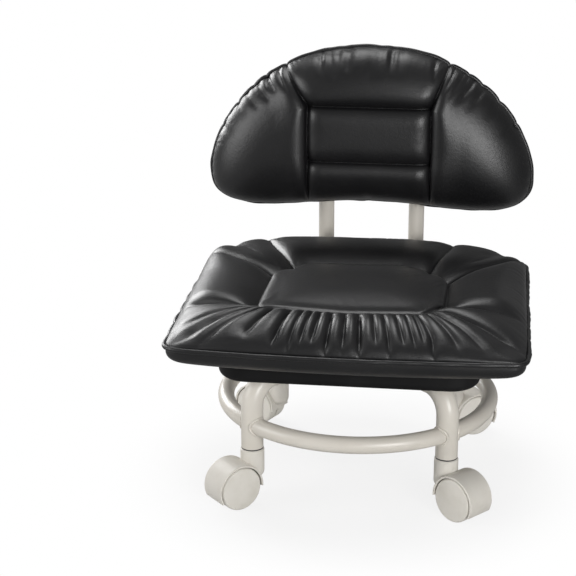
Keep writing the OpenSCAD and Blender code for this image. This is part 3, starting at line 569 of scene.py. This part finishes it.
# Turn of the outline at the outer corners of the wings' patches; rows of the mesh below, between
# and above the level seams; columns over a wing and over the middle; and how much closer its lines
# are at the seams
WING_TURN = np.arccos(0.88)
ROWS_BACK = (22, 26, 25)
WIDE_WING, WIDE_MIDDLE = 50, 60
CLOSER = 0.6

# Room left before the CAD's front for the swelling, the most that the cloth may swell, and how
# firmly the middle is held while it swells
BACK_ROOM = 3 * MM
BACK_SWELL = 12 * MM
MIDDLE_HOLD = 0.6

# Rings from the pocket's lip over the boxing to the front: inset, outset at the tips and below, and
# distance from the rear, in mm
BACK_RINGS = [(18, 0, -0.5), (10, 0, -0.4), (6, 0, 0.2), (2, 0, 2.2), (0, 1.6, 5), (0, 2.6, 8),
              (0, 2.4, 11), (0, 1.2, 14), (0, -0.4, 16.6), (0, -1.6, 18), (0, -1.6, 19.6)]

# Notches that the gathers pull into the upper edge: x in mm, and depth as a share of the way to the
# middle
NOTCHES = [(-141, 0.012), (-126, 0.018), (-102, 0.022), (-48, 0.007), (-32, 0.008), (12, 0.008),
           (27, 0.009), (93, 0.024), (115, 0.014), (131, 0.012), (152, 0.018), (-160, 0.014),
           (-178, 0.01), (172, 0.014)]

# Bunches of gathers along the top edge: x of the first and the end of the bunch, pitch, length,
# depth, and how far their aim leans aside, in mm
BUNCHES = [(-60, -22, 11, 44, 7, 0), (4, 44, 10, 44, 7, 0), (-150, -104, 13, 34, 4, 30),
           (76, 84, 9, 34, 4, 0), (98, 140, 12, 40, 4.4, -30)]


def scallop(u, rise):
    """Depth of the outline's notches at x = u w: a cusp at each notch of the upper edge, and one
    near the middle of the lower edge."""
    x = u * BACK_W
    above = sum(share * (1 - quarter(np.abs(x - at * MM) / (7 * MM))) for at, share in NOTCHES)
    below = 0.05 * (1 - quarter(np.abs(x + 2 * MM) / (6 * MM)))
    return above * (rise > 0) + below * (rise < 0)


def back_outline(turn, margin=0.0, notched=True):
    """The backrest's outline at a turn from 0 at the right tip over the top to the left tip and
    back below: x = w cos(turn), with one power curve above the tips and an arched one below."""
    u = np.cos(turn)
    over = TIP_Z + (150 * MM - margin) * (1 - np.abs(u) ** 2.15).clip(0) ** 0.58
    arch = 9 * MM * (1 + np.cos(pi * np.minimum(1, np.abs(u) / 0.76))) / 2
    under = TIP_Z - (45 * MM - margin) * (1 - np.abs(u) ** 8).clip(0) ** 0.364 + arch
    spot = np.stack([(BACK_W - margin) * u, np.where(np.sin(turn) >= 0, over, under)], -1)
    share = scallop(u, np.sin(turn))[..., None] if notched else 0
    return spot * (1 - share) + np.array([0, TIP_Z]) * share


fine_turns = np.linspace(-pi, 2 * pi, 6001)
fine_length = along(back_outline(fine_turns))


def shares(count, start=0.0, both=0.0):
    """Shares from 0 to 1, closer together at the start, at the end (below 0) or at both ends."""
    t = np.linspace(0, 1, count + 1)
    return t - start * np.sin(pi * t) / pi - both * np.sin(2 * pi * t) / (2 * pi)


def turns_between(first, last, count, start=0.0, both=0.0):
    """Turns whose points are spaced along the outline by shares, from one turn to another."""
    ends = np.interp([first, last], fine_turns, fine_length)
    at = ends[0] + (ends[1] - ends[0]) * shares(count, start, both)
    return np.interp(at, fine_length, fine_turns)


def turn_at(x, over):
    """The outline's turn at x in mm, on its upper edge or on its lower one."""
    return np.arccos(x * MM / BACK_W) * (1 if over else -1)


def edge_turns(left, left_seam, right_seam, right):
    """Turns of the mesh's columns along one edge, from tip to tip by way of both upright seams."""
    return np.concatenate([turns_between(left, left_seam, WIDE_WING, start=-0.5)[:-1],
                           turns_between(left_seam, right_seam, WIDE_MIDDLE, both=CLOSER)[:-1],
                           turns_between(right_seam, right, WIDE_WING, start=0.5)])


def upright_seam(x, end):
    """An upright seam: straight up to the upper level seam, then slanting to the top edge."""
    foot = back_outline(turn_at(x, False))[1]
    marks = np.array([(x * MM, z) for z in (foot, *LEVELS)] + [tuple(end)])
    parts = [a + (b - a) * shares(n, both=CLOSER)[:-1, None]
             for a, b, n in zip(marks[:-1], marks[1:], ROWS_BACK)]
    return np.vstack(parts + [marks[-1:]])


def front_depth(front, seams):
    """How far the front's points stand out, as a share of the pillow's depth: a quarter circle in
    from the rim, broader on the wings, with valleys at the upright seams and channels at the level
    ones."""
    flat, shape = front.reshape(-1, 2), front.shape[:2]
    rim_turns = turns_between(0, 2 * pi, 700)
    near = gap_to(flat, back_outline(rim_turns))
    plain = soft_gap(flat, back_outline(rim_turns[:-1], notched=False))
    near = (near + (plain - near) * smooth(near / (22 * MM))).reshape(shape)
    upright = np.minimum(gap_to(flat, seams[0]), gap_to(flat, seams[1])).reshape(shape)
    level = np.minimum(np.abs(front[..., 1] - LEVELS[0]), np.abs(front[..., 1] - LEVELS[1]))
    inside = np.zeros(shape)
    inside[:, WIDE_WING:WIDE_WING + WIDE_MIDDLE + 1] = 1
    broad = 56 * MM + 28 * MM * (1 - inside) * smooth(upright / (40 * MM))
    depth = quarter(near / broad) * (1 - 0.06 * inside)
    depth = depth * (1 - 0.28 * (1 - quarter(upright / (18 * MM))))
    return depth * (1 - 0.26 * inside * (1 - quarter(level / (20 * MM))))


def back_cover():
    """The backrest's cover as one closed mesh: a front of a middle patch between the upright seams
    and a wing on each side, rings from its rim over the boxing into the pocket, and the pocket.
    Comes with how firmly each point is held, and the outline's turns and outward directions."""
    low_turns = edge_turns(WING_TURN - pi, turn_at(-UPRIGHT_X, False), turn_at(UPRIGHT_X, False),
                           -WING_TURN)
    top_turns = edge_turns(pi - WING_TURN, turn_at(LEFT_TOP_X, True), turn_at(RIGHT_TOP_X, True),
                           WING_TURN)
    rows, wide = sum(ROWS_BACK), 2 * WIDE_WING + WIDE_MIDDLE
    right_tip = turns_between(-WING_TURN, WING_TURN, rows)
    left_tip = turns_between(pi - WING_TURN, pi + WING_TURN, rows)[::-1]
    low, top = back_outline(low_turns), back_outline(top_turns)

    first, last = WIDE_WING, WIDE_WING + WIDE_MIDDLE
    left_seam, right_seam = upright_seam(-UPRIGHT_X, top[first]), upright_seam(UPRIGHT_X, top[last])
    share = shares(WIDE_MIDDLE, both=CLOSER)[None, :, None]
    middle = left_seam[:, None] * (1 - share) + right_seam[:, None] * share
    up = shares(ROWS_BACK[0], both=CLOSER)[:, None]
    middle[:ROWS_BACK[0] + 1, :, 1] = low[first:last + 1, 1] * (1 - up) + LEVELS[0] * up
    up = shares(ROWS_BACK[2], both=CLOSER)[:, None]
    middle[-ROWS_BACK[2] - 1:, :, 1] = LEVELS[1] * (1 - up) + top[first:last + 1, 1] * up
    middle[0], middle[-1] = low[first:last + 1], top[first:last + 1]
    front = np.zeros((rows + 1, wide + 1, 2))
    front[:, first:last + 1] = middle
    left_rim = back_outline(left_tip)
    front[:, :first + 1] = coons(low[:first + 1], left_seam, top[:first + 1], left_rim)
    front[:, last:] = coons(low[last:], back_outline(right_tip), top[last:], right_seam)
    depth = front_depth(front, (left_seam, right_seam))
    y = BACK_SEAM_Y - 2.2 * MM - (BACK_SEAM_Y - back_low.y - BACK_ROOM) * depth
    grid = np.stack([front[..., 0], y, front[..., 1]], -1)

    # Rings from the pocket's floor round to the front's rim, anticlockwise from its low left; over
    # the tips they slope down towards the rear
    turns = np.concatenate([low_turns[:-1], right_tip[:-1], top_turns[:0:-1], left_tip[:0:-1]])
    edge = back_outline(turns)
    ahead = unit(np.roll(edge, -1, 0) - np.roll(edge, 1, 0))
    outward = np.stack([ahead[:, 1], -ahead[:, 0]], -1)
    over = np.sin(turns).clip(0)[:, None]
    plan = [(BACK_MARGIN, 0, POCKET)] + [tuple(v * MM for v in ring) for ring in BACK_RINGS]
    rings = []
    for margin, out, deep in plan:
        drop = 7 * MM * over * (1 - deep / (19 * MM)) if margin < BACK_MARGIN else 0
        line = back_outline(turns, margin) + (out * (1 - over) - drop) * outward
        rings.append(np.stack([line[:, 0], np.full(len(line), BACK_Y - deep), line[:, 1]], -1))
    rings = np.array(rings)

    # The pocket's floor is a patch in the first ring
    index = np.arange(grid[..., 0].size).reshape(grid.shape[:2])
    loop = np.concatenate([index[0, :-1], index[:-1, -1], index[-1, :0:-1], index[:0:-1, 0]])
    ring_index = index.size + np.arange(rings[..., 0].size).reshape(rings.shape[:2])
    floor_index = patch_index(ring_index[0], 0, wide, rows, index.size + ring_index.size)
    ring_index = np.vstack([ring_index, loop])
    ring_index = np.hstack([ring_index, ring_index[:, :1]])
    rim = np.vstack([rings[0], rings[0, :1]])[:, ::2]
    floor = coons(rim[:wide + 1], rim[wide:wide + rows + 1],
                  rim[wide + rows:2 * wide + rows + 1][::-1], rim[2 * wide + rows:][::-1])
    floor = floor[1:-1, 1:-1].reshape(-1, 2)
    floor = np.column_stack([floor[:, 0], np.full(len(floor), BACK_Y - POCKET), floor[:, 1]])
    points = np.vstack([grid.reshape(-1, 3), rings.reshape(-1, 3), floor])
    quads = np.vstack([grid_quads(index), grid_quads(ring_index), grid_quads(floor_index)[:, ::-1]])

    # Held: the pocket and its lip, the piping's rings, and the seams
    held = np.zeros(len(points))
    held[floor_index.ravel()] = 1
    held[ring_index[:4].ravel()] = 1
    held[ring_index[-3:].ravel()] = 1
    held[index[:, first:last + 1]] = MIDDLE_HOLD
    held[index[:, [first, last]]] = 1
    held[index[[ROWS_BACK[0], ROWS_BACK[0] + ROWS_BACK[1]], first:last + 1]] = 1
    return build("back_pillow", points, quads), held, turns, outward


def back_gathers(flat):
    """Gathers that run inwards from the top edge, in two bunches over the middle and a fan on each
    wing, with small puckers all round."""
    field = np.zeros(len(flat))
    for first, end, pitch, length, depth, lean in BUNCHES:
        for x in np.arange(first, end, pitch):
            x = x + DRAWS.uniform(-1.5, 1.5)
            start = back_outline(turn_at(x, True))
            aim = np.array([(x * 0.86 + lean) * MM, 385 * MM]) - start
            start = start - 5 * MM * unit(aim)
            sizes = (DRAWS.uniform(0.7, 1.1) * length * MM, 0.7 * pitch * MM,
                     DRAWS.uniform(0.6, 1.1) * depth * MM, DRAWS.uniform(-0.08, 0.08))
            field = np.minimum(field, pleat(flat, start, aim, *sizes))
    for turn in turns_between(0, 2 * pi, 120)[:-1]:
        start = back_outline(turn + DRAWS.uniform(-0.01, 0.01))
        aim = np.array([start[0] * 0.7, 370 * MM]) - start
        field += pleat(flat, start, aim, DRAWS.uniform(9, 20) * MM, DRAWS.uniform(3, 4.6) * MM,
                       DRAWS.uniform(0.1, 0.6) * MM)
    return field


def backrest():
    """The backrest's pillow and its piping."""
    piece, held, turns, outward = back_cover()
    inflate(piece, held, BACK_SWELL)
    points = read(piece)
    before_piping = smooth((BACK_SEAM_Y - points[:, 1]) / (5 * MM))
    swell(piece, back_gathers(points[:, [0, 2]]) * before_piping)
    subdivide(piece)
    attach(piece, "root")
    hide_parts("back_cushion")
    edge = back_outline(turns)
    path = np.stack([edge[:, 0], np.full(len(edge), BACK_SEAM_Y), edge[:, 1]], -1)
    cord = piping("back_piping", path, np.stack([outward[:, 0], 0 * turns, outward[:, 1]], -1))
    return [piece, cord]


# Weld beads

LEG_R = 12.5 * MM
BEAD_R = 1.5 * MM
# How far a bead's middle line stands off both tubes
BEAD_OFF = 0.3 * MM


def bead(name, path, outward, ripple):
    """A weld bead: a cord along a path whose radius swells and sinks as the weld was laid."""
    s = np.arange(len(path)) * 2 * pi / len(path)
    radius = BEAD_R * (1 + 0.14 * np.abs(np.sin(ripple * s / 2)) + 0.08 * np.sin(3 * s))
    piece = tube(name, path, radius, outward, sides=8)
    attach(piece, "root")
    return piece


def brace_beads():
    """A bead at each end of the brace arcs, where a tube of radius r, level and square to the leg's
    radius, runs into the upright leg of radius R: the seam lies sqrt(R^2 - h^2) from the leg's axis
    at h to either side of the tube's middle plane."""
    arc_low, arc_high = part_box("brace_front")
    tube_r = (arc_high.z - arc_low.z) / 2
    leg_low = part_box("leg_front_left")[0]
    axis = np.array([leg_low.x + LEG_R, leg_low.y + LEG_R])
    centre_y = axis[1] - axis[0]
    a = np.arange(72) * 2 * pi / 72
    across, up = (tube_r + BEAD_OFF) * np.cos(a), (tube_r + BEAD_OFF) * np.sin(a)
    reach = np.sqrt(LEG_R ** 2 - np.minimum(np.abs(across), 0.98 * LEG_R) ** 2) + BEAD_OFF
    beads = []
    for corner_turn in range(4):
        turn = pi / 4 + corner_turn * pi / 2
        radial, ahead = np.array([cos(turn), sin(turn)]), np.array([-sin(turn), cos(turn)])
        spot = np.array([0, centre_y]) + radial * np.hypot(axis[0], axis[1] - centre_y)
        for way in (-1, 1):
            flat = spot + across[:, None] * radial + way * reach[:, None] * ahead
            path = np.column_stack([flat, (arc_low.z + arc_high.z) / 2 + up])
            outward = np.column_stack([np.cos(a)[:, None] * radial, np.sin(a)])
            beads.append(bead("brace_weld_" + str(len(beads) + 1), path, outward, 26))
    return beads


# Materials

class Value:
    """A shader socket that maths can be written with: each operator adds its Math node."""

    def __init__(self, finish, socket):
        self.finish, self.socket = finish, socket

    def math(self, operation, *others):
        """A Math node whose first input is this socket."""
        inputs = dict(enumerate((self,) + others))
        return self.finish.node("ShaderNodeMath", {"operation": operation}, inputs)

    def __add__(self, other):
        return self.math("ADD", other)

    def __sub__(self, other):
        return self.math("SUBTRACT", other)

    def __mul__(self, other):
        return self.math("MULTIPLY", other)

    def __truediv__(self, other):
        return self.math("DIVIDE", other)

    def __pow__(self, other):
        return self.math("POWER", other)

    def __rsub__(self, other):
        return self.finish.node("ShaderNodeMath", {"operation": "SUBTRACT"}, {0: other, 1: self})

    __radd__, __rmul__ = __add__, __mul__


class Finish:
    """A material under construction, or a world where its node tree is given."""

    def __init__(self, name, tree=None):
        self.material = None
        if tree is None:
            self.material = bpy.data.materials.new(name)
            self.material.use_nodes = True
            tree = self.material.node_tree
        self.tree = tree
        self.tree.nodes.clear()

    def node(self, kind, settings=None, inputs=None, out=0):
        """Adds a node: its settings first, then its sockets' values or links. Gives one output."""
        node = self.tree.nodes.new(kind)
        for name, value in (settings or {}).items():
            setattr(node, name, value)
        for name, value in (inputs or {}).items():
            if isinstance(value, Value):
                self.tree.links.new(value.socket, node.inputs[name])
            else:
                node.inputs[name].default_value = value
        return Value(self, node.outputs[out]) if node.outputs else node

    def place(self):
        """Place on the piece, in metres."""
        return self.node("ShaderNodeTexCoord", out="Object")

    def noise(self, scale, detail, rough=0.5, at=None, out="Fac"):
        """Cloudy noise with scale blobs to the metre."""
        inputs = {"Vector": at or self.place(), "Scale": scale, "Detail": detail,
                  "Roughness": rough}
        return self.node("ShaderNodeTexNoise", {}, inputs, out)

    def cells(self, scale, at=None):
        """Distance to the nearest of scattered points, scale of them to the metre."""
        inputs = {"Vector": at or self.place(), "Scale": scale}
        return self.node("ShaderNodeTexVoronoi", {}, inputs, "Distance")

    def between(self, value, low, high, first=0.0, last=1.0):
        """Runs smoothly from first to last while the value runs from low to high."""
        inputs = {"Value": value, "From Min": low, "From Max": high, "To Min": first,
                  "To Max": last}
        return self.node("ShaderNodeMapRange", {"interpolation_type": "SMOOTHSTEP"}, inputs)

    def mix(self, share, first, second):
        """Mixes two colours."""
        return self.node("ShaderNodeMix", {"data_type": "RGBA"}, {0: share, 6: first, 7: second}, 2)

    def bump(self, height, distance, strength, normal=None):
        """Normals of a surface raised by height times the distance, over other normals if given."""
        inputs = {"Height": height, "Distance": distance, "Strength": strength}
        if normal:
            inputs["Normal"] = normal
        return self.node("ShaderNodeBump", {}, inputs)

    def ray(self, kind):
        """1 for the rays of a kind, and 0 for others."""
        return self.node("ShaderNodeLightPath", out="Is " + kind + " Ray")

    def seen(self, mirrored):
        """1 for the camera's rays, also through clear pieces, and mirrored for reflected ones."""
        return self.ray("Camera") + self.ray("Transmission") + mirrored * self.ray("Glossy")

    def surface(self, **sockets):
        """The closing shader, by its sockets' names with _ for each space."""
        inputs = {name.replace("_", " "): value for name, value in sockets.items()}
        return self.close(self.node("ShaderNodeBsdfPrincipled", {}, inputs))

    def close(self, shader, kind="ShaderNodeOutputMaterial"):
        """Joins the shader to the output, and returns the material."""
        self.node(kind, {}, {"Surface": shader})
        return self.material


def rgb(red, green, blue):
    """A colour with full alpha."""
    return (red, green, blue, 1.0)


def black_leather():
    """Soft coated leather: fine pebbles in patches of sheen, with faint scuffs."""
    f = Finish("black_leather")
    place = f.place()
    warp = f.noise(60, 2, out="Color")
    bent = f.node("ShaderNodeVectorMath", {"operation": "MULTIPLY_ADD"},
                  {0: warp, 1: (0.002, 0.002, 0.002), 2: place})
    pebbles = f.cells(620, bent)
    wrinkles = f.noise(210, 5, 0.6, at=bent)
    patches = f.noise(14, 4)
    colour = f.mix(f.between(patches, 0.35, 0.7), rgb(0.005, 0.005, 0.0055),
                   rgb(0.008, 0.0078, 0.0084))
    rough = 0.34 + 0.08 * patches + 0.06 * wrinkles
    soft = f.bump(wrinkles, 0.0003, 0.6)
    return f.surface(Base_Color=colour, Roughness=rough, Specular_IOR_Level=0.5,
                     Normal=f.bump(pebbles, 0.00012, 0.4, soft))


def cream_coat():
    """Powder coat: pale cream with a faint orange peel and a little grime."""
    f = Finish("cream_powder_coat")
    peel = f.noise(900, 2)
    patches = f.noise(11, 4)
    colour = f.mix(f.between(patches, 0.35, 0.75), rgb(0.64, 0.605, 0.545),
                   rgb(0.585, 0.55, 0.488))
    return f.surface(Base_Color=colour, Roughness=0.26 + 0.14 * patches,
                     Normal=f.bump(peel, 0.00006, 0.5))


def plastic(name, colour, worn, rough):
    """Moulded plastic: fine matt grain, with slightly different worn patches."""
    f = Finish(name)
    grain = f.noise(1500, 2)
    patches = f.noise(24, 5, 0.6)
    shade = f.mix(f.between(patches, 0.4, 0.8), rgb(*colour), rgb(*worn))
    return f.surface(Base_Color=shade, Roughness=rough + 0.12 * patches,
                     Normal=f.bump(grain, 0.00005, 0.4))


def plain_metal(name, colour, rough, scale):
    """Plated metal with fine mottling."""
    f = Finish(name)
    grain = f.noise(scale, 4, 0.6)
    shade = f.mix(grain, rgb(*colour), rgb(*[0.75 * c for c in colour]))
    return f.surface(Base_Color=shade, Metallic=1.0, Roughness=rough + 0.2 * grain,
                     Normal=f.bump(grain, 0.00005, 0.4))


def plywood():
    """Birch plywood: thin plies across its thickness and a streaky face grain."""
    f = Finish("birch_plywood")
    place = f.place()
    drawn = f.node("ShaderNodeMapping", {}, {"Vector": place, "Scale": (1, 14, 1)})
    streaks = f.noise(30, 6, 0.65, at=drawn)
    plies = f.node("ShaderNodeTexWave", {"bands_direction": "Z"},
                   {"Vector": place, "Scale": 260.0, "Distortion": 0.6}, "Fac")
    colour = f.mix(streaks, rgb(0.56, 0.38, 0.21), rgb(0.34, 0.21, 0.11))
    colour = f.mix(0.3 * plies, colour, rgb(0.16, 0.09, 0.045))
    return f.surface(Base_Color=colour, Roughness=0.55 + 0.2 * streaks,
                     Normal=f.bump(streaks, 0.0001, 0.5))


def base_vinyl():
    """The wrap under the seat: dull black vinyl with a fine cellular grain and dusty patches."""
    f = Finish("base_wrap_vinyl")
    grain = f.cells(900)
    patches = f.noise(18, 4, 0.6)
    colour = f.mix(f.between(patches, 0.4, 0.75), rgb(0.0035, 0.0035, 0.0038),
                   rgb(0.007, 0.007, 0.0073))
    return f.surface(Base_Color=colour, Roughness=0.55 + 0.15 * patches, Specular_IOR_Level=0.2,
                     Normal=f.bump(grain, 0.0001, 0.5))


leather = black_leather()
FINISHES = {
    "leather": leather,
    "cream_paint": cream_coat(),
    "cream_plastic": plastic("cream_moulded_plastic", (0.68, 0.652, 0.597),
                             (0.61, 0.578, 0.517), 0.34),
    "cream_wheel": plastic("cream_wheel_plastic", (0.71, 0.682, 0.626),
                           (0.62, 0.592, 0.526), 0.38),
    "black_plastic": plastic("black_moulded_plastic", (0.018, 0.018, 0.019),
                             (0.03, 0.03, 0.03), 0.42),
    "zinc": plain_metal("zinc_plate", (0.62, 0.63, 0.62), 0.28, 260),
    "steel": plain_metal("bare_steel", (0.5, 0.5, 0.5), 0.3, 420),
    "plywood": plywood(),
}

for piece in seat() + backrest():
    piece.data.materials.append(leather)
for piece in brace_beads():
    piece.data.materials.append(FINISHES["cream_paint"])
for node in nodes.values():
    for slot in node.material_slots:
        slot.material = FINISHES[slot.material.name]
nodes["seat_base_wrap"].material_slots[0].material = base_vinyl()


# Studio: a pale floor and soft lamps

FLOOR_SIDE = 8.0
# Each lamp's name, place, aim, size and power
LAMPS = [
    ("left", (-1.9, -0.8, 0.9), (0, 0, 0.25), 1.1, 23),
    ("right", (1.06, -1.84, 0.66), (0, 0, 0.3), 0.95, 34),
    ("top", (-0.2, 0.7, 2.1), (0, 0, 0.2), 1.0, 19),
    ("rear", (-1.5, 1.5, 0.9), (0, 0, 0.25), 1.0, 34),
]


def floor_finish():
    """A pale floor that keeps the object's shadow near it and is plain white further off; it is
    darker where the object mirrors it."""
    f = Finish("pale_floor")
    seen = f.seen(0.08)
    far = f.node("ShaderNodeVectorMath", {"operation": "LENGTH"}, {0: f.place()}, "Value")
    share = f.between(far, 0.14, 0.3, 0.83, 1.0) * seen
    plain = f.node("ShaderNodeBsdfDiffuse", {}, {"Color": rgb(0.66, 0.66, 0.66)})
    dim = f.node("ShaderNodeBsdfDiffuse", {}, {"Color": rgb(0.3, 0.3, 0.3)})
    plain = f.node("ShaderNodeMixShader", {}, {0: f.ray("Glossy"), 1: plain, 2: dim})
    glow = f.node("ShaderNodeEmission", {}, {"Color": rgb(1, 1, 1), "Strength": 1.0})
    return f.close(f.node("ShaderNodeMixShader", {}, {0: share, 1: plain, 2: glow}))


def add_lamp(name, spot, aim, size, power):
    """A square area lamp that faces its aim."""
    data = bpy.data.lights.new(name, "AREA")
    data.size, data.energy = size, power
    lamp = bpy.data.objects.new(name, data)
    x, y, z = np.array(spot, float) - np.array(aim, float)
    lamp.location = spot
    lamp.rotation_euler = (np.arctan2(np.hypot(x, y), z), 0, np.arctan2(x, -y))
    bpy.context.scene.collection.objects.link(lamp)


def studio():
    """The floor, the lamps, and a world that is white to the camera and dim to the object."""
    corners = [(-FLOOR_SIDE, -FLOOR_SIDE, 0), (FLOOR_SIDE, -FLOOR_SIDE, 0),
               (FLOOR_SIDE, FLOOR_SIDE, 0), (-FLOOR_SIDE, FLOOR_SIDE, 0)]
    floor = build("floor", np.array(corners, float), np.array([[0, 1, 2, 3]]))
    floor.data.materials.append(floor_finish())
    for row in LAMPS:
        add_lamp(*row)
    world = bpy.data.worlds.new("studio")
    world.use_nodes = True
    f = Finish("studio_world", world.node_tree)
    seen = f.seen(0.15)
    dim = f.node("ShaderNodeBackground", {}, {"Color": rgb(1, 1, 1), "Strength": 0.08})
    white = f.node("ShaderNodeBackground", {}, {"Color": rgb(1, 1, 1), "Strength": 1.0})
    mixed = f.node("ShaderNodeMixShader", {}, {0: seen, 1: dim, 2: white})
    f.close(mixed, "ShaderNodeOutputWorld")
    bpy.context.scene.world = world


studio()
bpy.context.scene.view_settings.view_transform = "Standard"
